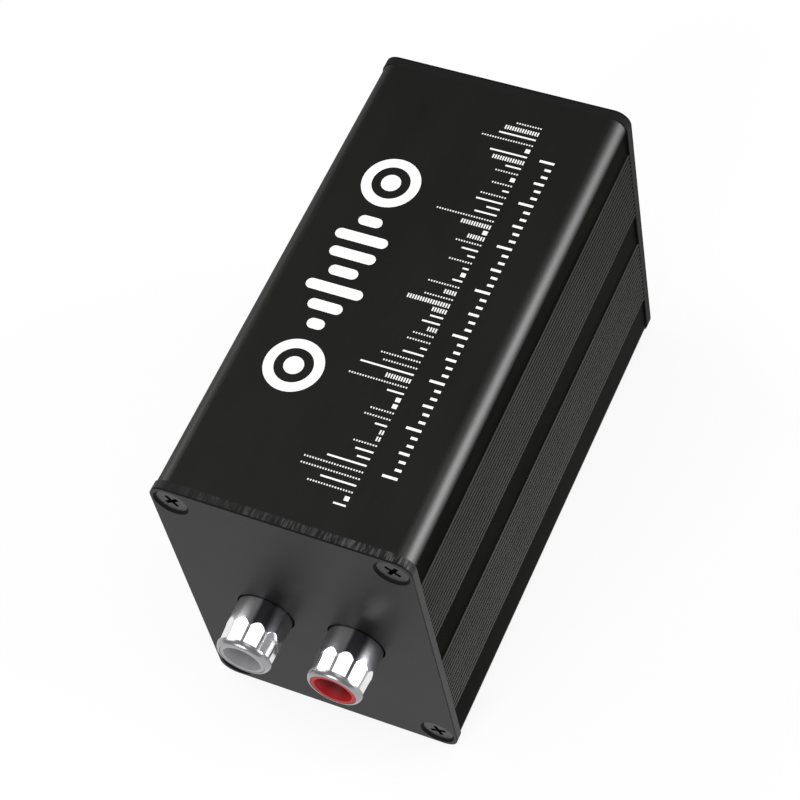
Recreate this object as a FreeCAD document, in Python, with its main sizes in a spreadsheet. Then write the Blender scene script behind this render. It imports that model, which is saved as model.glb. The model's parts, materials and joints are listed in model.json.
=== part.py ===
import FreeCAD, Part
import os
import re
import Sketcher

V = FreeCAD.Vector

# A ground loop isolator: a ribbed aluminium tube closed by two screwed end plates, with a pair of
# phono jacks at each end. A board inside carries the jacks and one isolating transformer per channel.
# X is the width, Y the length and Z the height. The case stands on z = 0 with its middle at x = y = 0.
# Every size is in millimetres, and every angle in degrees.
SIZES = {
    # case
    "case_width": 38.4,
    "case_height": 52.3,
    "case_length": 78.0,
    "corner_radius": 2.4,
    "wall": 1.5,
    "plate_thickness": 1.5,
    # ribs on both sides of the case, in two bands
    "rib_height": 0.22,
    "rib_root": 0.66,
    "rib_crest": 0.36,
    "rib_pitch": 0.98,
    "rib_count": 15,
    "lower_band": 9.55,
    "upper_inset": 7.73,
    # screws and the ports they run in
    "screw_inset": 3.0,
    "port_radius": 2.1,
    "port_bore": 1.15,
    "port_mouth": 1.2,
    "head_margin": 0.38,
    "thread_gap": 0.03,
    "screw_length": 7.5,
    "recess_span": 2.5,
    "recess_slot": 0.62,
    "recess_depth": 1.1,
    # jacks
    "jack_pitch": 14.0,
    "jack_height": 24.8,
    "jack_hole": 4.4,
    "shell_radius": 4.15,
    "shell_bore": 3.46,
    "shell_reach": 7.9,
    "shoulder": 0.2,
    "shoulder_gap": 0.03,
    "lip_depth": 0.75,
    "lip_width": 0.18,
    "flat_count": 10,
    "flat_start": 3.55,
    "flat_run": 0.9,
    "flat_depth": 0.155,
    "flat_angle": 19.0,
    "socket_depth": 5.0,
    "part_gap": 0.04,
    # insulator and centre contact
    "face_inset": 0.12,
    "dish_radius": 2.75,
    "dish_depth": 1.1,
    "contact_start": 2.7,
    "contact_bore": 1.6,
    "contact_wall": 0.3,
    "contact_slit": 0.5,
    "slit_length": 6.5,
    "tail_width": 1.0,
    "tail_thickness": 0.4,
    "tail_reach": 0.9,
    "tab_width": 1.4,
    "tab_thickness": 0.5,
    # plastic block that holds each pair of jacks on the board
    "housing_width": 26.0,
    "housing_depth": 9.5,
    "housing_over": 5.4,
    "housing_chamfer": 1.2,
    # board
    "board_height": 14.0,
    "board_thickness": 1.6,
    "board_end_gap": 0.5,
    "board_side_gap": 0.2,
    "ledge_depth": 1.6,
    "ledge_thickness": 1.0,
    "ledge_gap": 0.1,
    "pin_gap": 0.1,
    "pin_stick": 1.2,
    # transformers
    "transformer_offset": 13.2,
    "tongue": 6.0,
    "window_width": 5.7,
    "window_height": 14.0,
    "stack": 8.0,
    "core_lift": 0.4,
    "core_gap": 0.15,
    "bobbin_wall": 0.8,
    "flange_thickness": 0.9,
    "flange_gap": 0.2,
    "rail_depth": 2.2,
    "primary_build": 1.9,
    "secondary_build": 1.9,
    "layer_gap": 0.03,
    "tape_thickness": 0.2,
    "pin_width": 0.64,
    "pin_pitch": 3.75,
    "pins_per_rail": 4,
    "pin_seat": 2.2,
}

TUBE_LENGTH = "(case_length - 2 * plate_thickness)"
TUBE_HALF_WIDTH = "(case_width / 2 - rib_height)"
CAVITY_HALF_WIDTH = "(case_width / 2 - rib_height - wall)"
SCREW_X = "(case_width / 2 - screw_inset)"
SCREW_TOP = "(case_height - screw_inset)"
UPPER_BAND = "(case_height - upper_inset - (rib_count - 1) * rib_pitch)"
SCREW_CORE = "(port_bore - thread_gap)"
COUNTERSINK = "(port_bore + plate_thickness)"
HEAD_RADIUS = f"({COUNTERSINK} - head_margin)"
HEAD_TOP = "(head_margin - part_gap)"
BOARD_TOP = "(board_height + board_thickness)"
BOARD_END = "(case_length / 2 - plate_thickness - board_end_gap)"
SHELL_BACK = "(plate_thickness + socket_depth)"
SHELL_ROOT = "(shell_radius - shoulder)"
TAIL_BACK = "(plate_thickness + housing_depth + tail_reach)"
TUBE_X = "(tongue / 2 + core_gap + bobbin_wall)"
TUBE_Y = "(stack / 2 + core_gap + bobbin_wall)"
FLANGE_X = "(tongue / 2 + window_width - flange_gap)"
FLANGE_Y = "(stack / 2 + window_width - flange_gap)"
FLANGE_LOW = "(core_lift + tongue / 2 + core_gap)"
FLANGE_HIGH = "(core_lift + tongue / 2 + window_height - core_gap)"
RAIL_MIDDLE = "(stack / 2 + window_width - flange_gap - rail_depth / 2)"

# A countersink's wall slopes at 45 degrees, so it widens by as much as it is deep.
COUNTERSINK_TAPER = -45

# Where each screw's recess came to rest when it was driven home, in degrees.
SCREW_TURNS = {"front": (20, 55, 70, 35), "rear": (10, 80, 40, 25)}

doc = FreeCAD.newDocument("ground_loop_isolator")
sheet = doc.addObject("Spreadsheet::Sheet", "sizes")
for row, (alias, size) in enumerate(SIZES.items(), 1):
    sheet.set(f"A{row}", alias)
    sheet.set(f"B{row}", str(size))
    sheet.setAlias(f"B{row}", alias)
doc.recompute()

NODES = []


# A formula written with the plain names of the sizes, as the document reads it.
def term(text):
    return re.sub(r"[a-z_]+", lambda word: f"sizes.{word[0]}" if word[0] in SIZES else word[0], str(text))


def number(text):
    return float(sheet.evalExpression(term(text)))


def point(x, y):
    return V(number(x), number(y), 0)


def bind(thing, **formulas):
    for name, text in formulas.items():
        thing.setExpression(name, term(text))


def keep(thing, name):
    thing.Label = name
    NODES.append(thing)


def new_body(name):
    body = doc.addObject("PartDesign::Body", name)
    body.Label = name
    return body


def origin_part(body, role):
    return next(item for item in body.Origin.OriginFeatures if item.Role == role)


# Sketches lie on a plane of their own body, moved along the plane's normal by the formula in lift.
def new_sketch(body, plane, name, lift="0"):
    sketch = body.newObject("Sketcher::SketchObject", name)
    sketch.AttachmentSupport = [(origin_part(body, plane), "")]
    sketch.MapMode = "FlatFace"
    sketch.setExpression("AttachmentOffset.Base.z", term(lift))
    return sketch


def pin_point(sketch, edge, end, x, y):
    for kind, text in (("DistanceX", x), ("DistanceY", y)):
        index = sketch.addConstraint(Sketcher.Constraint(kind, -1, 1, edge, end, number(text)))
        sketch.setExpression(f"Constraints[{index}]", term(text))


def set_radius(sketch, edge, text):
    index = sketch.addConstraint(Sketcher.Constraint("Radius", edge, number(text)))
    sketch.setExpression(f"Constraints[{index}]", term(text))


def arc_between(start, end, radius, side):
    chord = end - start
    across = V(-chord.y, chord.x, 0).normalize() * side
    rise = radius - (radius ** 2 - (chord.Length / 2) ** 2) ** 0.5
    return Part.Arc(start, (start + end) / 2 + across * rise, end)


# A closed outline through points whose places are formulas. An edge named in arcs, by the number of
# the point it starts from, is an arc of that radius, bulging to the left (1) or the right (-1).
def outline(sketch, points, arcs=None):
    arcs = arcs or {}
    places = [point(x, y) for x, y in points]
    edges = []
    for index, start in enumerate(places):
        end = places[(index + 1) % len(places)]
        if index in arcs:
            radius, side = arcs[index]
            edge = sketch.addGeometry(arc_between(start, end, number(radius), side))
            set_radius(sketch, edge, radius)
        else:
            edge = sketch.addGeometry(Part.LineSegment(start, end))
        first_is_start = sketch.getPoint(edge, 1).distanceToPoint(start) < 1e-6
        edges.append((edge, 1, 2) if first_is_start else (edge, 2, 1))
    for index, (edge, first, last) in enumerate(edges):
        following = edges[(index + 1) % len(edges)]
        sketch.addConstraint(Sketcher.Constraint("Coincident", edge, last, following[0], following[1]))
        pin_point(sketch, edge, first, *points[index])


def rectangle(sketch, left, right, low, high):
    outline(sketch, [(left, low), (right, low), (right, high), (left, high)])


def rounded_rectangle(sketch, left, right, low, high, radius):
    points = [
        (f"{left} + {radius}", low), (f"{right} - {radius}", low),
        (right, f"{low} + {radius}"), (right, f"{high} - {radius}"),
        (f"{right} - {radius}", high), (f"{left} + {radius}", high),
        (left, f"{high} - {radius}"), (left, f"{low} + {radius}"),
    ]
    outline(sketch, points, {corner: (radius, -1) for corner in (1, 3, 5, 7)})


# A rectangular hole about x, y for a piece of the given width and depth.
def slot(sketch, x, y, width, depth):
    rectangle(sketch, f"{x} - {width} / 2 - pin_gap", f"{x} + {width} / 2 + pin_gap",
              f"{y} - {depth} / 2 - pin_gap", f"{y} + {depth} / 2 + pin_gap")


def circle(sketch, x, y, radius):
    edge = sketch.addGeometry(Part.Circle(point(x, y), V(0, 0, 1), number(radius)))
    pin_point(sketch, edge, 3, x, y)
    set_radius(sketch, edge, radius)


def add_pad(body, sketch, length, both_ways=False, back=False):
    pad = body.newObject("PartDesign::Pad", sketch.Name + "_pad")
    pad.Profile = sketch
    pad.SideType = "Symmetric" if both_ways else "One side"
    pad.Reversed = back
    bind(pad, Length=length)
    doc.recompute()
    return pad


# A pocket runs against the normal of its sketch. It has to take material away.
def add_pocket(body, sketch, length, both_ways=False, taper=0):
    before = body.Shape.Volume
    pocket = body.newObject("PartDesign::Pocket", sketch.Name + "_pocket")
    pocket.Profile = sketch
    pocket.SideType = "Symmetric" if both_ways else "One side"
    pocket.TaperAngle = taper
    bind(pocket, Length=length)
    doc.recompute()
    if not pocket.Shape.Volume < before:
        raise ValueError(f"{pocket.Name} cuts nothing")
    return pocket


# A turned piece: its half section is drawn with x as the radius and y along the axis.
def add_turning(body, sketch):
    turning = body.newObject("PartDesign::Revolution", sketch.Name + "_turning")
    turning.Profile = sketch
    turning.ReferenceAxis = (sketch, ["V_Axis"])
    turning.Angle = 360
    doc.recompute()


def add_row(body, feature, axis, pitch, count):
    row = body.newObject("PartDesign::LinearPattern", feature.Name + "_row")
    row.Originals = [feature]
    row.Direction = (origin_part(body, axis), [""])
    row.Mode = "Spacing"
    bind(row, Offset=pitch, Occurrences=count)
    body.Tip = row
    doc.recompute()


def add_ring(body, feature, axis, count):
    ring = body.newObject("PartDesign::PolarPattern", feature.Name + "_ring")
    ring.Originals = [feature]
    ring.Axis = (origin_part(body, axis), [""])
    ring.Angle = 360
    bind(ring, Occurrences=count)
    body.Tip = ring
    doc.recompute()


# What belongs to an end is drawn with the plate's outer face at y = 0 and the way out along -Y.
# The rear end is the front one turned half round, so that both ends take the same pieces.
def place_at_end(thing, end, x="0", z="0", spin=0.0):
    side = -1 if end == "front" else 1
    turn = FreeCAD.Rotation(V(0, 0, 1), 0 if end == "front" else 180)
    thing.Placement = FreeCAD.Placement(V(), turn.multiply(FreeCAD.Rotation(V(0, 1, 0), spin)))
    bind(thing, **{
        "Placement.Base.x": f"{-side} * ({x})",
        "Placement.Base.y": f"{side} * case_length / 2",
        "Placement.Base.z": z,
    })


def screw_places():
    for x in (f"-{SCREW_X}", SCREW_X):
        for z in ("screw_inset", SCREW_TOP):
            yield x, z


def pin_places():
    for row in range(SIZES["pins_per_rail"]):
        step = row - (SIZES["pins_per_rail"] - 1) / 2
        for side in (-1, 1):
            yield f"{step} * pin_pitch", f"{side} * {RAIL_MIDDLE}"


# The tube is one extrusion: four walls, a fine rib band high and low on both sides, ledges that hold
# the board by its edges, and a C-shaped port in each corner for a screw.
def case_shell():
    body = new_body("case_shell")
    skin = new_sketch(body, "XZ_Plane", "tube_outside")
    rounded_rectangle(skin, f"-{TUBE_HALF_WIDTH}", TUBE_HALF_WIDTH, "0", "case_height", "corner_radius")
    add_pad(body, skin, TUBE_LENGTH, both_ways=True)
    cavity = new_sketch(body, "XZ_Plane", "tube_inside")
    rectangle(cavity, f"-{CAVITY_HALF_WIDTH}", CAVITY_HALF_WIDTH, "wall", "case_height - wall")
    add_pocket(body, cavity, TUBE_LENGTH, both_ways=True)
    ports = new_sketch(body, "XZ_Plane", "screw_ports")
    for x, z in screw_places():
        circle(ports, x, z, "port_radius")
    add_pad(body, ports, TUBE_LENGTH, both_ways=True)
    bores = new_sketch(body, "XZ_Plane", "port_bores")
    for x, z in screw_places():
        circle(bores, x, z, "port_bore")
    add_pocket(body, bores, TUBE_LENGTH, both_ways=True)
    mouths = new_sketch(body, "XZ_Plane", "port_mouths")
    for x, z in screw_places():
        reach = f"{x} * (1 - (port_radius + port_mouth) / {SCREW_X})"
        left, right = sorted((x, reach), key=number)
        rectangle(mouths, left, right, f"{z} - port_mouth / 2", f"{z} + port_mouth / 2")
    add_pocket(body, mouths, TUBE_LENGTH, both_ways=True)
    ledges = new_sketch(body, "XZ_Plane", "board_ledges")
    for side in (-1, 1):
        wall_x = f"{side} * ({CAVITY_HALF_WIDTH} + wall / 2)"
        edge_x = f"{side} * ({CAVITY_HALF_WIDTH} - ledge_depth)"
        left, right = sorted((wall_x, edge_x), key=number)
        under, over = "(board_height - ledge_gap)", f"({BOARD_TOP} + ledge_gap)"
        rectangle(ledges, left, right, f"{under} - ledge_thickness", under)
        rectangle(ledges, left, right, over, f"{over} + ledge_thickness")
    add_pad(body, ledges, TUBE_LENGTH, both_ways=True)
    for name, band in (("lower_rib", "lower_band"), ("upper_rib", UPPER_BAND)):
        rib = new_sketch(body, "XZ_Plane", name)
        for side in (-1, 1):
            root_x = f"{side} * ({TUBE_HALF_WIDTH} - rib_height)"
            foot_x = f"{side} * {TUBE_HALF_WIDTH}"
            crest_x = f"{side} * case_width / 2"
            outline(rib, [
                (root_x, f"{band} - rib_root / 2"), (foot_x, f"{band} - rib_root / 2"),
                (crest_x, f"{band} - rib_crest / 2"), (crest_x, f"{band} + rib_crest / 2"),
                (foot_x, f"{band} + rib_root / 2"), (root_x, f"{band} + rib_root / 2"),
            ])
        add_row(body, add_pad(body, rib, TUBE_LENGTH, both_ways=True), "Z_Axis", "rib_pitch", "rib_count")
    keep(body, "case_shell")


# Each end plate has the outline of the ribbed tube, with a hole countersunk right through it in each
# corner and a round hole with clearance for each jack.
def end_plate(end):
    body = new_body(f"{end}_plate")
    edge = new_sketch(body, "XZ_Plane", f"{end}_plate_edge")
    rounded_rectangle(edge, "-case_width / 2", "case_width / 2", "0", "case_height", "corner_radius")
    add_pad(body, edge, "plate_thickness", back=True)
    openings = new_sketch(body, "XZ_Plane", f"{end}_jack_holes")
    for side in (-1, 1):
        circle(openings, f"{side} * jack_pitch / 2", "jack_height", "jack_hole")
    add_pocket(body, openings, "plate_thickness")
    screw_holes = new_sketch(body, "XZ_Plane", f"{end}_countersinks")
    for x, z in screw_places():
        circle(screw_holes, x, z, COUNTERSINK)
    add_pocket(body, screw_holes, "plate_thickness", taper=COUNTERSINK_TAPER)
    place_at_end(body, end)
    keep(body, f"{end}_plate")


# A countersunk screw with a cross recess. Its head lies a little below the plate's face.
def screw(name):
    body = new_body(name)
    section = new_sketch(body, "XY_Plane", f"{name}_section")
    outline(section, [
        ("0", HEAD_TOP), (HEAD_RADIUS, HEAD_TOP),
        (SCREW_CORE, f"{HEAD_TOP} + {HEAD_RADIUS} - {SCREW_CORE}"),
        (SCREW_CORE, f"{HEAD_TOP} + screw_length"), ("0", f"{HEAD_TOP} + screw_length"),
    ])
    add_turning(body, section)
    cross = new_sketch(body, "XZ_Plane", f"{name}_cross", f"-{HEAD_TOP}")
    reach, half = "recess_span / 2", "recess_slot / 2"
    corners = [(reach, half), (half, half), (half, reach)]
    points = []
    for turn in range(4):
        for x, y in corners:
            for quarter in range(turn):
                x, y = f"-({y})", x
            points.append((x, y))
    outline(cross, points)
    add_pocket(body, cross, "recess_depth")
    return body


def plate_screws(end):
    group = []
    for index, ((x, z), spin) in enumerate(zip(screw_places(), SCREW_TURNS[end]), 1):
        body = screw(f"{end}_screw_{index}")
        place_at_end(body, end, x, z, spin)
        group.append(body)
    screws = doc.addObject("Part::Compound", f"{end}_screws")
    screws.Links = group
    keep(screws, f"{end}_screws")


# The jack's shell is a plated tube. A shoulder rests near the plate, the front half has shallow flats
# with narrow lands between them, each running out in an arch, and a tab at the back is the ground
# terminal.
def jack_shell(end, colour, x):
    name = f"{end}_{colour}_jack_shell"
    body = new_body(name)
    section = new_sketch(body, "XY_Plane", f"{name}_section")
    nose = "-shell_reach"
    outline(section, [
        (SHELL_ROOT, SHELL_BACK), (SHELL_ROOT, "-shoulder_gap"), ("shell_radius", "-shoulder_gap"),
        ("shell_radius", f"{nose} + lip_depth"), ("shell_bore + lip_width", nose),
        ("shell_bore", nose), ("shell_bore", SHELL_BACK),
    ])
    add_turning(body, section)
    # The first flat is turned about the jack's axis, which is the sketch's own first axis.
    flat = new_sketch(body, "YZ_Plane", f"{name}_flat")
    flat.AttachmentOffset = FreeCAD.Placement(V(), FreeCAD.Rotation(V(1, 0, 0), 1))
    bind(flat, **{"AttachmentOffset.Rotation.Angle": "flat_angle"})
    far = f"({nose} - lip_depth)"
    outline(flat, [
        ("-flat_start", "shell_radius"), ("-flat_start", "shell_radius + shoulder"),
        (far, "shell_radius + shoulder"), (far, "shell_radius - flat_depth"),
        ("-(flat_start + flat_run)", "shell_radius - flat_depth"),
    ])
    cut = add_pocket(body, flat, "2 * shell_radius", both_ways=True)
    add_ring(body, cut, "Y_Axis", "flat_count")
    tab = new_sketch(body, "YZ_Plane", f"{name}_tab")
    rectangle(tab, f"{SHELL_BACK} - tab_thickness", SHELL_BACK,
              "board_height - pin_stick - jack_height", f"-({SHELL_ROOT} + shell_bore) / 2")
    add_pad(body, tab, "tab_width", both_ways=True)
    place_at_end(body, end, x, "jack_height")
    keep(body, name)


# The insulator fills the shell. Its funnel leads a plug's pin into the centre contact.
def jack_insulator(end, colour, x):
    name = f"{end}_{colour}_insulator"
    body = new_body(name)
    section = new_sketch(body, "XY_Plane", f"{name}_section")
    face = "(face_inset - shell_reach)"
    seat = "(contact_bore + contact_wall + part_gap)"
    outline(section, [
        ("shell_bore - part_gap", face), ("dish_radius", face), (seat, f"{face} + dish_depth"),
        (seat, SHELL_BACK), ("shell_bore - part_gap", SHELL_BACK),
    ])
    add_turning(body, section)
    place_at_end(body, end, x, "jack_height")
    keep(body, name)


# The centre contact is a split tube that grips a plug's pin. Its tail leaves through the back of the
# housing and turns down into the board.
def jack_contact(end, colour, x):
    name = f"{end}_{colour}_contact"
    body = new_body(name)
    section = new_sketch(body, "XY_Plane", f"{name}_section")
    mouth = "(face_inset - shell_reach + contact_start + part_gap)"
    outer = "(contact_bore + contact_wall)"
    outline(section, [
        ("contact_bore", mouth), (outer, mouth), (outer, SHELL_BACK), ("0", SHELL_BACK),
        ("0", f"{SHELL_BACK} - contact_wall"), ("contact_bore", f"{SHELL_BACK} - contact_wall"),
    ])
    add_turning(body, section)
    slit = new_sketch(body, "XZ_Plane", f"{name}_slit", f"-{mouth}")
    rectangle(slit, f"-({outer} + part_gap)", f"{outer} + part_gap", "-contact_slit / 2", "contact_slit / 2")
    add_pocket(body, slit, "slit_length")
    tail = new_sketch(body, "YZ_Plane", f"{name}_tail")
    half, foot = "tail_thickness / 2", "board_height - pin_stick - jack_height"
    outline(tail, [
        (f"{SHELL_BACK} - contact_wall / 2", f"-{half}"), (f"{TAIL_BACK} - tail_thickness", f"-{half}"),
        (f"{TAIL_BACK} - tail_thickness", foot), (TAIL_BACK, foot),
        (TAIL_BACK, half), (f"{SHELL_BACK} - contact_wall / 2", half),
    ])
    add_pad(body, tail, "tail_width", both_ways=True)
    place_at_end(body, end, x, "jack_height")
    keep(body, name)


# One moulded block holds both jacks of an end. It stands on the board behind the plate, with two
# bores for the shells, slots for their tabs and holes for the contacts' tails.
def jack_housing(end):
    name = f"{end}_jack_housing"
    body = new_body(name)
    half, top = "housing_width / 2", "(jack_height + housing_over)"
    face = new_sketch(body, "XZ_Plane", f"{name}_face", "-plate_thickness")
    outline(face, [
        (f"-{half}", BOARD_TOP), (half, BOARD_TOP),
        (half, f"{top} - housing_chamfer"), (f"{half} - housing_chamfer", top),
        (f"-{half} + housing_chamfer", top), (f"-{half}", f"{top} - housing_chamfer"),
    ])
    add_pad(body, face, "housing_depth", back=True)
    bores = new_sketch(body, "XZ_Plane", f"{name}_bores", "-plate_thickness")
    slots = new_sketch(body, "XZ_Plane", f"{name}_slots", "-plate_thickness")
    tails = new_sketch(body, "XZ_Plane", f"{name}_tails", "-plate_thickness")
    for side in (-1, 1):
        x = f"{side} * jack_pitch / 2"
        circle(bores, x, "jack_height", f"{SHELL_ROOT} + part_gap")
        rectangle(slots, f"{x} - tab_width / 2 - pin_gap", f"{x} + tab_width / 2 + pin_gap",
                  f"{BOARD_TOP} - ledge_gap", "jack_height")
        slot(tails, x, "jack_height", "tail_width", "tail_thickness")
    add_pocket(body, bores, "socket_depth")
    add_pocket(body, slots, "socket_depth")
    add_pocket(body, tails, "housing_depth")
    place_at_end(body, end)
    keep(body, name)


# The board slides in between the ledges. It has a slot under each terminal and a hole for each pin.
def circuit_board():
    body = new_body("circuit_board")
    half = f"({CAVITY_HALF_WIDTH} - board_side_gap)"
    edge = new_sketch(body, "XY_Plane", "board_edge", "board_height")
    rectangle(edge, f"-{half}", half, f"-{BOARD_END}", BOARD_END)
    add_pad(body, edge, "board_thickness")
    holes = new_sketch(body, "XY_Plane", "board_holes", BOARD_TOP)
    for way in (-1, 1):
        for side in (-1, 1):
            x = f"{side} * jack_pitch / 2"
            slot(holes, x, f"{way} * (case_length / 2 - {SHELL_BACK} + tab_thickness / 2)",
                 "tab_width", "tab_thickness")
            slot(holes, x, f"{way} * (case_length / 2 - {TAIL_BACK} + tail_thickness / 2)",
                 "tail_width", "tail_thickness")
        for x, y in pin_places():
            slot(holes, x, f"{way} * transformer_offset + {y}", "pin_width", "pin_width")
    add_pocket(body, holes, "board_thickness")
    keep(body, "circuit_board")


def place_at_transformer(thing, way):
    bind(thing, **{
        "Placement.Base.y": f"{way} * transformer_offset",
        "Placement.Base.z": BOARD_TOP,
    })


# The core is two stacks of laminations: an E with its legs up, and an I that closes it.
def transformer_core(channel, way):
    e_core = new_body(f"{channel}_e_core")
    low, bend = "core_lift", "(core_lift + tongue / 2)"
    top = f"({bend} + window_height)"
    inner, window, outer = "tongue / 2", "(tongue / 2 + window_width)", "(tongue + window_width)"
    profile = new_sketch(e_core, "XZ_Plane", f"{channel}_e_profile")
    outline(profile, [
        (f"-{outer}", low), (outer, low), (outer, top), (window, top), (window, bend), (inner, bend),
        (inner, top), (f"-({inner})", top), (f"-({inner})", bend), (f"-{window}", bend),
        (f"-{window}", top), (f"-{outer}", top),
    ])
    add_pad(e_core, profile, "stack", both_ways=True)
    place_at_transformer(e_core, way)
    keep(e_core, f"{channel}_e_core")
    i_core = doc.addObject("Part::Box", f"{channel}_i_core")
    bind(i_core, Length=f"2 * {outer}", Width="stack", Height="tongue / 2", **{
        "Placement.Base.x": f"-{outer}",
        "Placement.Base.y": f"{way} * transformer_offset - stack / 2",
        "Placement.Base.z": f"{BOARD_TOP} + {top}",
    })
    keep(i_core, f"{channel}_i_core")


# The bobbin is a square tube with two flanges, on two rails that straddle the core's yoke.
def transformer_bobbin(channel, way):
    name = f"{channel}_bobbin"
    body = new_body(name)
    tube = new_sketch(body, "XY_Plane", f"{name}_tube", FLANGE_LOW)
    rectangle(tube, f"-{TUBE_X}", TUBE_X, f"-{TUBE_Y}", TUBE_Y)
    add_pad(body, tube, f"{FLANGE_HIGH} - {FLANGE_LOW}")
    for level, flange_z in (("lower", FLANGE_LOW), ("upper", f"({FLANGE_HIGH} - flange_thickness)")):
        flange = new_sketch(body, "XY_Plane", f"{name}_{level}_flange", flange_z)
        rectangle(flange, f"-{FLANGE_X}", FLANGE_X, f"-{FLANGE_Y}", FLANGE_Y)
        add_pad(body, flange, "flange_thickness")
    rails = new_sketch(body, "XY_Plane", f"{name}_rails")
    for side in (-1, 1):
        low, high = sorted((f"{side} * ({FLANGE_Y} - rail_depth)", f"{side} * {FLANGE_Y}"), key=number)
        rectangle(rails, f"-{FLANGE_X}", FLANGE_X, low, high)
    add_pad(body, rails, f"{FLANGE_LOW} + flange_thickness / 2")
    core_way = new_sketch(body, "XY_Plane", f"{name}_core_way", FLANGE_HIGH)
    rectangle(core_way, "-(tongue / 2 + core_gap)", "tongue / 2 + core_gap",
              "-(stack / 2 + core_gap)", "stack / 2 + core_gap")
    add_pocket(body, core_way, f"{FLANGE_HIGH} - {FLANGE_LOW}")
    seats = new_sketch(body, "XY_Plane", f"{name}_pin_seats", "pin_seat")
    for x, y in pin_places():
        slot(seats, x, y, "pin_width", "pin_width")
    add_pocket(body, seats, "pin_seat")
    place_at_transformer(body, way)
    keep(body, name)


# A coil or a wrap of tape lies between the flanges, from one build-up to the next.
def coil_layer(name, way, inside, outside):
    body = new_body(name)
    low = f"({FLANGE_LOW} + flange_thickness + layer_gap)"
    loop = new_sketch(body, "XY_Plane", f"{name}_loop", low)
    for build in (outside, inside):
        rectangle(loop, f"-({TUBE_X} + {build})", f"{TUBE_X} + {build}",
                  f"-({TUBE_Y} + {build})", f"{TUBE_Y} + {build}")
    add_pad(body, loop, f"{FLANGE_HIGH} - flange_thickness - layer_gap - {low}")
    place_at_transformer(body, way)
    keep(body, name)


def transformer_pins(channel, way):
    group = []
    for index, (x, y) in enumerate(pin_places(), 1):
        pin = doc.addObject("Part::Box", f"{channel}_pin_{index}")
        bind(pin, Length="pin_width", Width="pin_width", Height="pin_seat + board_thickness + pin_stick", **{
            "Placement.Base.x": f"{x} - pin_width / 2",
            "Placement.Base.y": f"{way} * transformer_offset + {y} - pin_width / 2",
            "Placement.Base.z": "board_height - pin_stick",
        })
        group.append(pin)
    pins = doc.addObject("Part::Compound", f"{channel}_pins")
    pins.Links = group
    keep(pins, f"{channel}_pins")


def transformer(channel, way):
    transformer_core(channel, way)
    transformer_bobbin(channel, way)
    first = "layer_gap"
    second = "(layer_gap + primary_build)"
    third = "(2 * layer_gap + primary_build)"
    fourth = "(2 * layer_gap + primary_build + secondary_build)"
    fifth = "(3 * layer_gap + primary_build + secondary_build)"
    coil_layer(f"{channel}_primary_coil", way, first, second)
    coil_layer(f"{channel}_secondary_coil", way, third, fourth)
    coil_layer(f"{channel}_coil_tape", way, fifth, f"({fifth} + tape_thickness)")
    transformer_pins(channel, way)


case_shell()
for end in ("front", "rear"):
    end_plate(end)
    plate_screws(end)
    for colour, x in (("white", "-jack_pitch / 2"), ("red", "jack_pitch / 2")):
        jack_shell(end, colour, x)
        jack_insulator(end, colour, x)
        jack_contact(end, colour, x)
    jack_housing(end)
circuit_board()
for channel, way in (("white_channel", -1), ("red_channel", 1)):
    transformer(channel, way)
doc.recompute()

for thing in doc.Objects:
    if "Invalid" in thing.State or "Error" in thing.State:
        raise ValueError(f"{thing.Name} failed: {thing.State}")
for node in NODES:
    if node.Shape.isNull() or not node.Shape.isValid() or not node.Shape.Solids:
        raise ValueError(f"{node.Label} has no valid shape")

os.makedirs("parts", exist_ok=True)
for node in NODES:
    node.Shape.exportStep(f"parts/{node.Label}.step")
    print(f"{node.Label}: {len(node.Shape.Solids)} solids, {node.Shape.Volume:.1f} cubic mm")
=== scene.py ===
import bmesh
import bpy
import json
import math
import random
from functools import partial
from mathutils import Matrix, Vector


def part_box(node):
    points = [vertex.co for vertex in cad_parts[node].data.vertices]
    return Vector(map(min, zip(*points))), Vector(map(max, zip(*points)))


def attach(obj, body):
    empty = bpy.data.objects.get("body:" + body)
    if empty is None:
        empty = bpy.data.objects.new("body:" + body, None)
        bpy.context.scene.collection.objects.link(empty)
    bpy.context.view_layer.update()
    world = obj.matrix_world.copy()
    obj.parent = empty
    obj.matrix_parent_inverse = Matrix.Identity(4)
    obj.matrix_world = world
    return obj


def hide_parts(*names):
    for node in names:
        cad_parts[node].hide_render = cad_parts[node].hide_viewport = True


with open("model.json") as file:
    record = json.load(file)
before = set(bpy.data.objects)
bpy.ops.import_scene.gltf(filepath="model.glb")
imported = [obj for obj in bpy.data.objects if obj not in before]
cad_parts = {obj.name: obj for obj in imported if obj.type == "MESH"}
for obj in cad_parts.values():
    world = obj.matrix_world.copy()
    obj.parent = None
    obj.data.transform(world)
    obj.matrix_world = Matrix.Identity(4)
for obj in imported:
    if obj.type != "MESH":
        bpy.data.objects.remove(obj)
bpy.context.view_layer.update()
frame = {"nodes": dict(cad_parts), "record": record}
nodes = frame["nodes"]
mm = 0.001
print("frame loaded")


# The lowest and the highest corner of a CAD piece, in millimetres.
def boxOf(name):
    return [[round(value / mm, 3) for value in corner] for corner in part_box(name)]


def neat(value):
    return round(value, 3)


plateLow, plateHigh = boxOf("front_plate")
shellLow, shellHigh = boxOf("front_red_jack_shell")

# the case stands on z = 0, with its middle at x = y = 0
case = {"side": plateHigh[0], "top": plateHigh[2], "end": -plateLow[1]}


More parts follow.
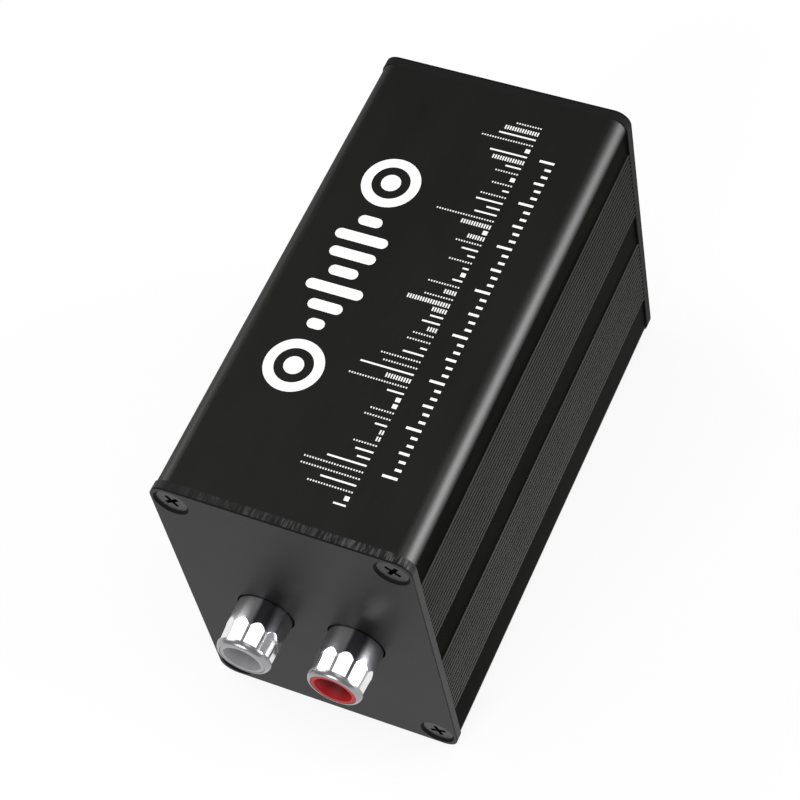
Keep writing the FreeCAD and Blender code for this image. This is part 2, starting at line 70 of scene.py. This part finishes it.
# A number or colour inside a material. Operators on it add Math nodes.
class Value:
    def __init__(self, finish, socket):
        self.finish, self.socket = finish, socket

    def maths(self, operation, *others):
        values = dict(enumerate((self,) + others))
        return self.finish.add("ShaderNodeMath", {"operation": operation}, values)

    def __add__(self, other):
        return self.maths("ADD", other)

    def __sub__(self, other):
        return self.maths("SUBTRACT", other)

    def __mul__(self, other):
        return self.maths("MULTIPLY", other)

    def __lt__(self, other):
        return self.maths("LESS_THAN", other)

    def __gt__(self, other):
        return self.maths("GREATER_THAN", other)

    def __rsub__(self, other):
        return self.finish.add("ShaderNodeMath", {"operation": "SUBTRACT"}, {0: other, 1: self})

    __radd__ = __add__
    __rmul__ = __mul__


# One material. Constants go on the shader's own sockets, and what varies is fed in as a Value.
class Finish:
    def __init__(self, name, **constants):
        self.material = bpy.data.materials.new(name)
        self.material.use_nodes = True
        self.tree = self.material.node_tree
        self.shader = self.tree.nodes["Principled BSDF"]
        self.set(**constants)

    def set(self, **sockets):
        for name, value in sockets.items():
            self.feed(self.shader.inputs[name.replace("_", " ")], value)

    def feed(self, socket, value):
        if isinstance(value, Value):
            self.tree.links.new(value.socket, socket)
        else:
            socket.default_value = value

    def add(self, kind, settings=None, sockets=None, out=0):
        node = self.tree.nodes.new(kind)
        for name, value in (settings or {}).items():
            setattr(node, name, value)
        for name, value in (sockets or {}).items():
            self.feed(node.inputs[name], value)
        return Value(self, node.outputs[out])

    def place(self):
        return self.add("ShaderNodeTexCoord", out="Object")

    def axis(self, name):
        return self.add("ShaderNodeSeparateXYZ", {}, {0: self.place()}, out=name)

    def slope(self, name):
        normal = self.add("ShaderNodeNewGeometry", out="Normal")
        return self.add("ShaderNodeSeparateXYZ", {}, {0: normal}, out=name)

    # Noise whose grains are as large as the given millimetres along each axis.
    def grain(self, sizes, detail=2.0, roughness=0.5):
        scaled = self.add("ShaderNodeVectorMath", {"operation": "MULTIPLY"},
                          {0: self.place(), 1: tuple(1 / (size * mm) for size in sizes)})
        return self.add("ShaderNodeTexNoise", {}, {"Vector": scaled, "Scale": 1.0,
                                                   "Detail": detail, "Roughness": roughness})

    # A wave along an axis, as long as the given millimetres.
    def wave(self, axis, length):
        return self.axis(axis).maths("MULTIPLY", 2 * math.pi / (length * mm)).maths("SINE")

    def spread(self, value, low, high, fromLow=0.3, fromHigh=0.7):
        return self.add("ShaderNodeMapRange", {"clamp": True},
                        {0: value, 1: fromLow, 2: fromHigh, 3: low, 4: high})

    # Goes from low to high between two places given in millimetres.
    def rise(self, value, start, end, low=0, high=1):
        return self.spread(value, low, high, start * mm, end * mm)

    def blend(self, factor, first, second):
        return self.add("ShaderNodeMix", {"data_type": "RGBA"},
                        {0: factor, 6: first, 7: second}, out=2)

    def mottle(self, noise, colours, fromLow=0.3, fromHigh=0.7):
        return self.blend(self.spread(noise, 0, 1, fromLow, fromHigh), *colours)

    def bump(self, height, strength, distance):
        return self.add("ShaderNodeBump", {}, {"Strength": strength, "Distance": distance * mm,
                                               "Height": height})


def grey(level):
    return (level, level, level, 1)


def colour(red, green, blue):
    return (red, green, blue, 1)


def makeCaseBlack():
    look = {
        "colours": (colour(0.032, 0.032, 0.031), colour(0.037, 0.037, 0.035)),
        "cloud": (6, 14, 6), "drawn": (0.7, 9.0, 0.7), "roughness": (0.3, 0.33),
        # the round long edges are softer than the faces, and a painted highlight makes them a
        # little lighter, so far from the side and from the top
        "wearAndPaintedHighlight": grey(0.1), "softer": 0.2, "sideFade": (2.1, 0.9), "topFade": (2.4, 1.3),
    }
    finish = Finish("caseBlack", Metallic=1.0, Specular_Tint=grey(0.34))
    drawn = finish.grain(look["drawn"], detail=3)
    cloud = finish.grain(look["cloud"])
    sideFrom, sideTo = (case["side"] - inset for inset in look["sideFade"])
    topFrom, topTo = (case["top"] - inset for inset in look["topFade"])
    nearSide = finish.rise(finish.axis("X").maths("ABSOLUTE"), sideFrom, sideTo)
    onEdge = nearSide * finish.rise(finish.axis("Z"), topFrom, topTo)
    # the base colour paints a highlight on the round long edges
    finish.set(Base_Color=finish.blend(onEdge, finish.mottle(cloud, look["colours"]), look["wearAndPaintedHighlight"]),
               Roughness=finish.spread(drawn, *look["roughness"]) + onEdge * look["softer"])
    return finish.material


def makePlateBlack():
    look = {
        "face": (grey(0.005), grey(0.007)), "cloud": (5, 5, 5),
        "specks": (0.12, 0.12, 0.12), "roughness": (0.44, 0.5), "bump": (0.04, 0.01),
        # a surface is rim or countersink where it faces along the case by less than this
        "rimUnder": 0.7, "sinkUnder": 0.9, "rearSofter": 0.35,
        # the upper rim of the front plate has tool marks across it; a painted highlight makes them
        # show most at its right
        "rim": (grey(0.004), grey(0.075)), "marks": (0.35, 3.0, 0.35), "paintedSheenRise": (-16, 12),
        "marksShow": (0.46, 0.64), "upOver": 0.6,
        # painted shade darkens the countersinks, and a thin darker line runs along the rim, next to
        # the face
        "sinkShadeAndRimLine": grey(0.001), "rimLineWidth": 0.28, "sinkShadeAndRimLineSofter": 0.3,
    }
    finish = Finish("plateBlack", Specular_IOR_Level=0.2)
    specks = finish.grain(look["specks"], detail=3)
    marks = finish.grain(look["marks"], detail=4, roughness=0.7)
    along, facing = finish.axis("Y"), finish.slope("Y").maths("ABSOLUTE")
    millMarksAndSheen = (along < 0) * (finish.slope("Z") > look["upOver"])
    # the marks are painted lighter towards the right, as a highlight
    millMarksAndSheen = millMarksAndSheen * finish.rise(finish.axis("X"), *look["paintedSheenRise"], 0.1, 1)
    onRim = 1 - (facing > look["rimUnder"])
    face = finish.mottle(finish.grain(look["cloud"]), look["face"])
    rim = finish.blend(finish.spread(marks, 0, 1, *look["marksShow"]) * millMarksAndSheen, *look["rim"])
    # painted shade in the countersinks, and a darker line along the rim next to the face
    sinkShadeAndRimLine = onRim * (along.maths("ABSOLUTE") > (case["end"] - look["rimLineWidth"]) * mm)
    sinkShadeAndRimLine = sinkShadeAndRimLine + (facing < look["sinkUnder"]) * (1 - onRim)
    softer = onRim * (along > 0) * look["rearSofter"] + sinkShadeAndRimLine * look["sinkShadeAndRimLineSofter"]
    finish.set(Base_Color=finish.blend(sinkShadeAndRimLine, finish.blend(onRim, face, rim), look["sinkShadeAndRimLine"]),
               Roughness=finish.spread(specks, *look["roughness"]) + softer,
               Normal=finish.bump(specks, *look["bump"]))
    return finish.material


def makeScrewBlack():
    look = {"colours": (grey(0.016), grey(0.05)), "wearAndPaintedHighlight": (0.5, 0.5, 0.5), "show": (0.45, 0.75),
            "roughness": (0.22, 0.4)}
    finish = Finish("screwBlack", Metallic=0.75, Specular_IOR_Level=0.5)
    wearAndPaintedHighlight = finish.grain(look["wearAndPaintedHighlight"], detail=4)
    finish.set(Base_Color=finish.mottle(wearAndPaintedHighlight, look["colours"], *look["show"]),
               Roughness=finish.spread(wearAndPaintedHighlight, *look["roughness"]))
    return finish.material


# A jack's shell. Its lengths run outwards from the plate, and its angles from the top.
jack = {
    "pitch": neat(shellLow[0] + shellHigh[0]),
    "radius": neat((shellHigh[0] - shellLow[0]) / 2),
    "height": neat(shellHigh[2] - (shellHigh[0] - shellLow[0]) / 2),
    "reach": neat(-shellLow[1] - case["end"]),
    "back": neat(case["end"] + shellHigh[1]),
    "root": 3.95, "bore": 3.46, "edge": 0.06, "steps": 360,
    "barrelFrom": 0.3, "barrelSteps": 6,
    "lipDepth": 1.05, "lipRim": 0.05, "lipSteps": 16, "mouthEdge": 0.04,
    "flats": 10, "flatTurn": {"white": 23.0, "red": 15.5}, "flatDepth": 0.22, "flatSteps": 40,
    "archTop": 3.5, "archRise": 1.1, "taper": 0.05, "ridge": 3.4,
    "seamTurn": {"white": 61.0, "red": -62.0}, "seamWidth": 0.14, "seamDepth": 0.07,
}
jack["lipStart"] = jack["reach"] - jack["lipDepth"]
jack["outside"] = jack["bore"] + 0.3  # a larger radius is on the outside of the shell

# The insulator in a jack's mouth
dish = {
    "rim": 2.85, "hole": 1.94, "depth": 1.9, "neck": 0.6, "inset": 0.05, "slip": 0.02,
    "edge": 0.06, "rollSteps": 16, "rollIn": 1.6, "rollDown": 1.5, "steps": 96,
}


def makeChrome():
    look = {
        "colours": (colour(0.82, 0.82, 0.84), colour(0.88, 0.88, 0.9)), "film": (2.5, 2.5, 2.5),
        "roughness": (0.29, 0.33),
        # a painted reflection gives the barrel a light side and a dark band, so far from its middle
        "band": colour(0.12, 0.12, 0.135), "bandFade": (0.2, 0.7), "bandEnd": (2.3, 2.9),
        "bandLoss": 0.4,
        # painted shade makes the lip darker than the barrel, from just before its start to just
        # after
        "paintedLipShade": colour(0.34, 0.34, 0.35), "lipFade": (-0.15, 0.25), "lipSmoother": 0.05,
    }
    finish = Finish("chrome", Metallic=1.0)
    film = finish.grain(look["film"])
    lipFrom, lipTo = (case["end"] + jack["lipStart"] + shift for shift in look["lipFade"])
    onLip = finish.rise(finish.axis("Y").maths("ABSOLUTE"), lipFrom, lipTo)
    across = finish.axis("X")
    aside = across - across.maths("SIGN") * (jack["pitch"] / 2 * mm)
    # the dark band is a painted reflection on the barrel
    onPaintedDarkBand = finish.rise(aside, *look["bandFade"])
    onPaintedDarkBand = onPaintedDarkBand - finish.rise(aside, *look["bandEnd"], 0, look["bandLoss"])
    barrel = finish.blend(onPaintedDarkBand, finish.mottle(film, look["colours"]), look["band"])
    # the lip takes painted shade in its base colour
    finish.set(Base_Color=finish.blend(onLip, barrel, look["paintedLipShade"]),
               Roughness=finish.spread(film, *look["roughness"]) - onLip * look["lipSmoother"])
    return finish.material


# The pressed flats lean a little towards the lip, more than their outline shows.
def makeFlatChrome():
    look = {"colours": (colour(0.8, 0.8, 0.81), colour(0.86, 0.86, 0.87)),
            "film": (2.5, 2.5, 2.5), "roughness": (0.07, 0.1), "lean": 0.03, "leanFurther": 0.14}
    finish = Finish("flatChrome", Metallic=1.0)
    film = finish.grain(look["film"])
    along = finish.axis("Y").maths("ABSOLUTE") * (1 / mm)
    archEnd = case["end"] + jack["archTop"] + jack["archRise"]
    fall = along * look["lean"] + (along - archEnd).maths("MAXIMUM", 0.0) * look["leanFurther"]
    finish.set(Base_Color=finish.mottle(film, look["colours"]),
               Roughness=finish.spread(film, *look["roughness"]),
               Normal=finish.bump(0 - fall, 1.0, 1.0))
    return finish.material


# Moulded plastic. Where a deep colour is given, painted shade darkens it inwards from the jack's
# mouth.
def makeMouldedPlastic(name, colours, roughness, paintedDeepShade=None):
    look = {"cloud": (1.6, 1.6, 1.6), "skin": (0.1, 0.1, 0.1), "bump": (0.05, 0.01),
            "deepFade": (1.8, 0.4)}
    finish = Finish(name, Specular_IOR_Level=0.25)
    shade = finish.mottle(finish.grain(look["cloud"]), colours)
    skin = finish.grain(look["skin"])
    if paintedDeepShade:
        mouth = case["end"] + jack["reach"]
        deepFrom, deepTo = (mouth - inset for inset in look["deepFade"])
        outwards = finish.rise(finish.axis("Y").maths("ABSOLUTE"), deepFrom, deepTo)
        # painted shade: the colour darkens deeper in the jack's mouth
        shade = finish.blend(outwards, paintedDeepShade, shade)
    finish.set(Base_Color=shade, Roughness=finish.spread(skin, *roughness),
               Normal=finish.bump(skin, *look["bump"]))
    return finish.material


def makePlatedMetal(name, colours, roughness):
    finish = Finish(name, Metallic=1.0)
    film = finish.grain((0.8, 0.8, 0.8), detail=3)
    finish.set(Base_Color=finish.mottle(film, colours), Roughness=finish.spread(film, *roughness))
    return finish.material


def makeBoardGreen():
    look = {"colours": (colour(0.008, 0.09, 0.03), colour(0.014, 0.13, 0.045)),
            "thread": 2.4166, "cloud": (4, 4, 4), "show": (-0.4, 1.4), "roughness": (0.25, 0.36)}
    finish = Finish("boardGreen", Specular_IOR_Level=0.5, Coat_Weight=0.4)
    weave = finish.wave("X", look["thread"]) * finish.wave("Y", look["thread"])
    cloud = finish.grain(look["cloud"])
    finish.set(Base_Color=finish.mottle(weave + cloud, look["colours"], *look["show"]),
               Roughness=finish.spread(cloud, *look["roughness"]))
    return finish.material


# The sheets of the stack show as fine lines.
def makeCoreSteel():
    look = {"colours": (grey(0.3), colour(0.22, 0.17, 0.13)), "sheet": 0.35, "bump": (0.5, 0.05),
            "rust": (1.5, 1.5, 1.5), "show": (0.5, 0.75), "roughness": 0.5, "smoother": 0.12}
    finish = Finish("coreSteel", Metallic=0.9)
    sheets = finish.spread(finish.wave("Y", look["sheet"]), 0, 1, -0.6, 0.6)
    rust = finish.grain(look["rust"], detail=3)
    finish.set(Base_Color=finish.mottle(rust, look["colours"], *look["show"]),
               Roughness=look["roughness"] - sheets * look["smoother"],
               Normal=finish.bump(sheets, *look["bump"]))
    return finish.material


# Turns of fine enamelled wire lie side by side.
def makeCoilCopper():
    look = {"colours": (colour(0.42, 0.12, 0.035), colour(0.6, 0.2, 0.06)), "turn": 0.22,
            "stain": (1.2, 1.2, 1.2), "roughness": (0.25, 0.35), "bump": (0.6, 0.06)}
    finish = Finish("coilCopper", Metallic=0.85, Coat_Weight=0.5)
    stain = finish.grain(look["stain"], detail=3)
    finish.set(Base_Color=finish.mottle(stain, look["colours"]),
               Roughness=finish.spread(stain, *look["roughness"]),
               Normal=finish.bump(finish.wave("Z", look["turn"]), *look["bump"]))
    return finish.material


def makePrintWhite():
    look = {"colours": (grey(0.86), grey(0.95)), "ink": (0.25, 0.25, 0.25),
            "roughness": (0.5, 0.62)}
    finish = Finish("printWhite", Specular_IOR_Level=0.4)
    ink = finish.grain(look["ink"], detail=3)
    finish.set(Base_Color=finish.mottle(ink, look["colours"]),
               Roughness=finish.spread(ink, *look["roughness"]))
    return finish.material


# by material slot: a plastic's two shades, its roughness and its painted shade deep in a jack
plastics = {
    "insulator_white": ("insulatorWhite", (colour(0.27, 0.27, 0.28), colour(0.31, 0.31, 0.32)),
                        (0.42, 0.52), colour(0.17, 0.17, 0.18)),
    "insulator_red": ("insulatorRed", (colour(0.32, 0.004, 0.006), colour(0.38, 0.006, 0.009)),
                      (0.42, 0.52), colour(0.07, 0.001, 0.001)),
    "housing_black": ("housingBlack", (grey(0.012), grey(0.018)), (0.42, 0.56)),
    "bobbin_plastic": ("bobbinPlastic", (grey(0.02), grey(0.03)), (0.4, 0.55)),
    "tape_yellow": ("tapeYellow", (colour(0.68, 0.42, 0.04), colour(0.78, 0.52, 0.07)),
                    (0.22, 0.34)),
}
metals = {
    "contact_brass": ("contactBrass", (colour(0.62, 0.45, 0.2), colour(0.78, 0.6, 0.3)),
                      (0.25, 0.42)),
    "pin_tin": ("pinTin", (grey(0.5), grey(0.62)), (0.25, 0.4)),
}

finishes = {
    "case_black": makeCaseBlack(),
    "plate_black": makePlateBlack(),
    "screw_black": makeScrewBlack(),
    "jack_chrome": makeChrome(),
    "board_green": makeBoardGreen(),
    "core_steel": makeCoreSteel(),
    "coil_copper": makeCoilCopper(),
}
finishes.update({slot: makeMouldedPlastic(*look) for slot, look in plastics.items()})
finishes.update({slot: makePlatedMetal(*look) for slot, look in metals.items()})
printWhite = makePrintWhite()
flatChrome = makeFlatChrome()

slotOf = {entry["node"]: entry["material_slot"] for entry in frame["record"]["subparts"]}
for name, node in nodes.items():
    for slot in node.material_slots:
        slot.material = finishes[slotOf[name]]
print("finishes on", len(nodes), "CAD pieces")


def newPiece(name, build, material, smooth=True, sharp=32, second=None):
    mesh = bpy.data.meshes.new(name)
    work = bmesh.new()
    build(work)
    bmesh.ops.recalc_face_normals(work, faces=work.faces)
    work.to_mesh(mesh)
    work.free()
    if smooth:
        mesh.shade_smooth()
        mesh.set_sharp_from_angle(angle=math.radians(sharp))
    mesh.materials.append(material)
    if second:
        mesh.materials.append(second)
    piece = bpy.data.objects.new(name, mesh)
    bpy.context.collection.objects.link(piece)
    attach(piece, "root")
    return piece


# A closed ring of points turned about the jack's axis. radiusAt may change a radius by its angle,
# and isSecond says which faces take the piece's second finish.
def turnedRing(work, profile, steps, place, radiusAt=None, isSecond=None):
    rows = []
    for index in range(steps):
        angle = 2 * math.pi * index / steps
        row = []
        for radius, along in profile:
            reach = radiusAt(radius, along, angle) if radiusAt else radius
            point = place(reach * math.sin(angle), along, reach * math.cos(angle))
            row.append(work.verts.new(point))
        rows.append(row)
    for index, row in enumerate(rows):
        following = rows[(index + 1) % steps]
        middle = 2 * math.pi * (index + 0.5) / steps
        for spot, start in enumerate(profile):
            after = (spot + 1) % len(profile)
            face = work.faces.new((row[spot], row[after], following[after], following[spot]))
            if isSecond and isSecond(start, profile[after], middle):
                face.material_index = 1


# Points of a jack are given in its own frame: to the right, out of the plate, and up.
def jackPlace(end, colourName):
    side = -1 if end == "front" else 1
    middle = -side * (jack["pitch"] / 2) * (-1 if colourName == "white" else 1)
    def place(x, along, z):
        return Vector((middle - side * x, side * (case["end"] + along), jack["height"] + z)) * mm
    return place


# The angle between a place on the shell and the middle of the nearest flat.
def offFlat(colourName, angle):
    half = math.pi / jack["flats"]
    return abs((angle - math.radians(jack["flatTurn"][colourName]) + half) % (2 * half) - half)


def offSeam(colourName, angle):
    turned = angle - math.radians(jack["seamTurn"][colourName]) + math.pi
    return abs(turned % (2 * math.pi) - math.pi)


# Half the angle of a flat. Between two flats a narrow round ridge stays.
flatHalf = math.pi / jack["flats"] - math.radians(jack["ridge"])


# The radius of the flats alone. They run out under the round of the barrel in an arch.
def flatRadius(colourName, along, angle):
    rise = min(1.0, (along - jack["archTop"]) / jack["archRise"])
    further = max(0.0, along - jack["archTop"] - jack["archRise"])
    depth = jack["flatDepth"] * rise + jack["taper"] * further
    return (jack["radius"] - depth) / math.cos(min(offFlat(colourName, angle), flatHalf))


def shellRadius(colourName, radius, along, angle):
    if radius < jack["outside"]:
        return radius
    if jack["archTop"] < along <= jack["lipStart"] + 0.001:
        radius = min(radius, flatRadius(colourName, along, angle))
    aside = offSeam(colourName, angle) * radius
    if aside < jack["seamWidth"] and 0 <= along <= jack["archTop"]:
        radius -= jack["seamDepth"] * (1 + math.cos(math.pi * aside / jack["seamWidth"])) / 2
    return radius


# Flats and the seam are smoother than the barrel and take the second finish.
def isPressed(colourName, start, end, angle):
    along = (start[1] + end[1]) / 2
    if start[0] < jack["outside"] or not 0 < along < jack["lipStart"]:
        return False
    if along < jack["archTop"]:
        return offSeam(colourName, angle) * jack["radius"] < jack["seamWidth"]
    inFlat = offFlat(colourName, angle) < flatHalf
    return inFlat and flatRadius(colourName, along, angle) < jack["radius"]


def shellProfile():
    radius, bore = jack["radius"], jack["bore"]
    archTop, lipStart = jack["archTop"], jack["lipStart"]
    profile = [(bore, -jack["back"]), (jack["root"], -jack["back"]), (jack["root"], 0.0),
               (radius - jack["edge"], 0.0), (radius, jack["edge"])]
    start = jack["barrelFrom"]
    for step in range(jack["barrelSteps"] + 1):
        profile.append((radius, start + (archTop - start) * step / jack["barrelSteps"]))
    for step in range(1, jack["flatSteps"] + 1):
        profile.append((radius, archTop + (lipStart - archTop) * step / jack["flatSteps"]))
    # the lip rolls in to the mouth on a soft round
    inner = bore + jack["lipRim"]
    for step in range(1, jack["lipSteps"] + 1):
        turn = math.pi / 2 * step / jack["lipSteps"]
        profile.append((inner + (radius - inner) * math.cos(turn),
                        lipStart + jack["lipDepth"] * math.sin(turn)))
    profile += [(bore, jack["reach"] - jack["mouthEdge"]), (bore, 0.0)]
    return profile


def dishProfile():
    face = jack["reach"] - dish["inset"]
    outer = jack["bore"] - dish["slip"]
    profile = [(dish["hole"], -jack["back"]), (outer, -jack["back"]),
               (outer, face - dish["edge"]), (outer - dish["edge"], face)]
    # the face rolls over into the funnel
    for step in range(dish["rollSteps"] + 1):
        share = step / dish["rollSteps"]
        profile.append((dish["rim"] - (dish["rim"] - dish["hole"]) * share ** dish["rollIn"],
                        face - dish["depth"] * share ** dish["rollDown"]))
    profile.append((dish["hole"], face - dish["depth"] - dish["neck"]))
    return profile


def addJack(end, colourName):
    place = jackPlace(end, colourName)
    shell = newPiece(
        f"{end}_{colourName}_shell",
        lambda work: turnedRing(work, shellProfile(), jack["steps"], place,
                                partial(shellRadius, colourName), partial(isPressed, colourName)),
        finishes["jack_chrome"], sharp=9, second=flatChrome)
    insulator = newPiece(
        f"{end}_{colourName}_dish",
        lambda work: turnedRing(work, dishProfile(), dish["steps"], place),
        finishes[f"insulator_{colourName}"])
    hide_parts(f"{end}_{colourName}_insulator")
    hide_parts(f"{end}_{colourName}_jack_shell")


for end in ("front", "rear"):
    for colourName in ("white", "red"):
        addJack(end, colourName)
print("jacks made")

# The print on the top: ink stands a little above it and reaches a little into it. A band of fine
# bars runs along the case, one in each row.
printing = {
    "ink": 0.02, "sunk": 0.01, "seed": 41,
    "rows": 62, "rowPitch": 1.08, "firstRow": -33.2, "edgeFront": 7.5, "edgeRear": 8.2,
    # row, length and spread of each hill of long bars
    "hills": ((4, 7.4, 4.2), (19, 8.4, 5.0), (31, 6.4, 3.6), (45, 7.4, 4.6), (58, 7.2, 4.4)),
    "shortest": 1.8, "lengthShare": (0.3, 1.1),
    # how often each kind of bar comes
    "kinds": {"thin": 10, "dotted": 5, "hatched": 3, "square": 2},
    "thin": 0.27, "block": 0.7, "stroke": 0.2, "dotTall": 0.24, "dotPitch": 0.4, "dotsFurther": 2,
    "hatchPitch": 0.38,
}

# The large mark shows a jack, a sound wave drawn in bars and a jack. The small one is a scale.
mark = {
    "foot": -4.2, "start": -19.6, "length": 41.2, "tall": 8.6,
    "ring": 1.5, "ringSides": 64, "dot": 1.45, "dotSides": 24,
    "bar": 1.7, "barPitch": 3.05, "bars": (2.6, 5.2, 8.6, 4.4, 7.0, 8.0, 3.6), "tipSteps": 14,
}
scale = {
    "foot": 12.3, "start": -27.3, "pitch": 1.3, "ticks": 43, "width": 0.4,
    # how many ticks apart each length comes
    "tall": ((6, 2.2), (3, 1.5), (1, 0.95)),
}


def inkLevels():
    return case["top"] - printing["sunk"], case["top"] + printing["ink"]


# A filled shape of ink between corners given as (x, y).
def inkShape(work, corners):
    under, over = ([work.verts.new(Vector((x, y, level)) * mm) for x, y in corners]
                   for level in inkLevels())
    work.faces.new(under[::-1])
    work.faces.new(over)
    for spot in range(len(corners)):
        after = (spot + 1) % len(corners)
        work.faces.new((under[spot], under[after], over[after], over[spot]))


# A bar of ink across the case that ends at right.
def inkBar(work, right, length, middle, tall):
    left, low, high = right - length, middle - tall / 2, middle + tall / 2
    inkShape(work, [(left, low), (right, low), (right, high), (left, high)])


# A flat ring of ink about (x, y).
def inkRing(work, x, y, inner, outer, sides):
    bottom, top = inkLevels()
    section = [(inner, bottom), (outer, bottom), (outer, top), (inner, top)]
    rows = []
    for side in range(sides):
        angle = 2 * math.pi * side / sides
        rows.append([work.verts.new(Vector((x - radius * math.sin(angle),
                                            y + radius * math.cos(angle), level)) * mm)
                     for radius, level in section])
    for side, row in enumerate(rows):
        following = rows[(side + 1) % sides]
        for spot in range(len(section)):
            after = (spot + 1) % len(section)
            work.faces.new((row[spot], row[after], following[after], following[spot]))


# Points of an arc about (x, y), from one angle to another.
def arcPoints(x, y, radius, first, last, steps):
    angles = [math.radians(first + (last - first) * step / steps) for step in range(steps + 1)]
    return [(x - radius * math.sin(angle), y + radius * math.cos(angle)) for angle in angles]


def rowLength(row):
    hill = max(length * math.exp(-((row - middle) / spread) ** 2)
               for middle, length, spread in printing["hills"])
    return max(printing["shortest"], hill)


def printBars(work):
    chance = random.Random(printing["seed"])
    kinds = printing["kinds"]
    for row in range(printing["rows"]):
        y = printing["firstRow"] + row * printing["rowPitch"]
        share = row / (printing["rows"] - 1)
        edge = printing["edgeFront"] + (printing["edgeRear"] - printing["edgeFront"]) * share
        length = rowLength(row) * chance.uniform(*printing["lengthShare"])
        kind = chance.choices(list(kinds), list(kinds.values()))[0]
        if kind == "thin":
            inkBar(work, edge, length, y, printing["thin"])
        elif kind == "square":
            inkBar(work, edge, printing["block"], y, printing["block"])
        else:
            dotted = kind == "dotted"
            end = edge - length - (printing["dotsFurther"] if dotted else 0)
            x = edge
            while x > end:
                inkBar(work, x, printing["stroke"], y, printing["dotTall" if dotted else "block"])
                x -= printing["dotPitch" if dotted else "hatchPitch"]


def printMark(work):
    half, tip = mark["tall"] / 2, mark["bar"] / 2
    x = mark["foot"] - half
    middle = mark["start"] + mark["length"] / 2
    for way in (-1, 1):
        y = middle + way * (mark["length"] / 2 - half)
        inkRing(work, x, y, half - mark["ring"], half, mark["ringSides"])
        sides = mark["dotSides"]
        inkShape(work, arcPoints(x, y, mark["dot"], 0, 360 - 360 / sides, sides - 1))
    # each bar ends in two round tips
    for index, tall in enumerate(mark["bars"]):
        y = middle + (index - (len(mark["bars"]) - 1) / 2) * mark["barPitch"]
        rise = tall / 2 - tip
        inkShape(work, arcPoints(x - rise, y, tip, 0, 180, mark["tipSteps"])
                 + arcPoints(x + rise, y, tip, 180, 360, mark["tipSteps"]))


def printScale(work):
    for tick in range(scale["ticks"]):
        tall = next(tall for apart, tall in scale["tall"] if tick % apart == 0)
        inkBar(work, scale["foot"], tall, scale["start"] + tick * scale["pitch"], scale["width"])


for name, build in (("top_bars", printBars), ("top_symbols", printMark), ("top_scale", printScale)):
    newPiece(name, build, printWhite, smooth=False)
print("printing made")

# The studio, in metres. The camera's place and directions come from the picture's perspective.
studio = {
    "cameraPlace": (0.1183, -0.1697, 0.3292),
    "cameraRight": (0.9053, 0.4013, -0.139),
    "cameraUp": (-0.2674, 0.7929, 0.5476),
    "lens": 113.79,
    "floorSize": 5.0,
    "floorColour": grey(0.93),
    "floorWhite": 0.86,
    "roomLevel": 0.4,
    # name: place, what it points at, width, height, power
    "lamps": {
        "overheadBox": ((0.2, 0.06, 0.86), (0, 0, 0.03), 0.62, 0.34, 1.0),
        "leftBox": ((-0.7, 0.1, 0.55), (0, 0, 0.03), 0.4, 0.5, 3.3),
        "frontBox": ((-0.15, -0.9, 0.62), (0, -0.03, 0.03), 0.5, 0.4, 5.5),
        "rightStrip": ((0.7, 0.2, 0.21), (0, 0, 0.05), 0.52, 0.34, 5.2),
        "ribBox": ((0.6, 0.42, 0.57), (0, 0, 0.03), 0.3, 0.3, 0.4),
    },
}


# The floor keeps the object's shadow, and shows paler to the camera and in reflections.
def addFloor():
    finish = Finish("floorPale", Base_Color=studio["floorColour"], Roughness=0.9,
                    Specular_IOR_Level=0.1)
    rays = [finish.add("ShaderNodeLightPath", out=out)
            for out in ("Is Camera Ray", "Is Glossy Ray", "Is Transmission Ray")]
    white = finish.add("ShaderNodeEmission", {}, {"Color": grey(1), "Strength": 1.0})
    lit = Value(finish, finish.shader.outputs[0])
    seen = (rays[0] + rays[1] + rays[2]) * studio["floorWhite"]
    surface = finish.add("ShaderNodeMixShader", {}, {0: seen, 1: lit, 2: white})
    finish.feed(finish.tree.nodes["Material Output"].inputs["Surface"], surface)
    bpy.ops.mesh.primitive_plane_add(size=studio["floorSize"], location=(0, 0, 0))
    floor = bpy.context.object
    floor.name = "floor"
    floor.data.materials.append(finish.material)


def addLamps():
    for name, (place, target, width, height, power) in studio["lamps"].items():
        lamp = bpy.data.lights.new(name, "AREA")
        lamp.shape, lamp.size, lamp.size_y, lamp.energy = "RECTANGLE", width, height, power
        holder = bpy.data.objects.new(name, lamp)
        holder.location = place
        aim = Vector(target) - Vector(place)
        holder.rotation_euler = aim.to_track_quat("-Z", "Y").to_euler()
        bpy.context.collection.objects.link(holder)
    world = bpy.data.worlds.new("room")
    world.use_nodes = True
    room = world.node_tree.nodes["Background"]
    room.inputs["Color"].default_value = grey(1)
    room.inputs["Strength"].default_value = studio["roomLevel"]
    bpy.context.scene.world = world


def addCamera():
    lens = bpy.data.cameras.new("camera")
    lens.lens, lens.sensor_width, lens.sensor_fit = studio["lens"], 36, "HORIZONTAL"
    lens.clip_start, lens.clip_end = 0.01, 20
    camera = bpy.data.objects.new("camera", lens)
    right, up = (Vector(studio[key]).normalized() for key in ("cameraRight", "cameraUp"))
    back = right.cross(up).normalized()
    turn = Matrix((right, back.cross(right), back)).transposed().to_4x4()
    camera.matrix_world = Matrix.Translation(studio["cameraPlace"]) @ turn
    bpy.context.collection.objects.link(camera)
    bpy.context.scene.camera = camera


addFloor()
addLamps()
addCamera()
bpy.context.scene.view_settings.view_transform = "Standard"
print("studio ready")
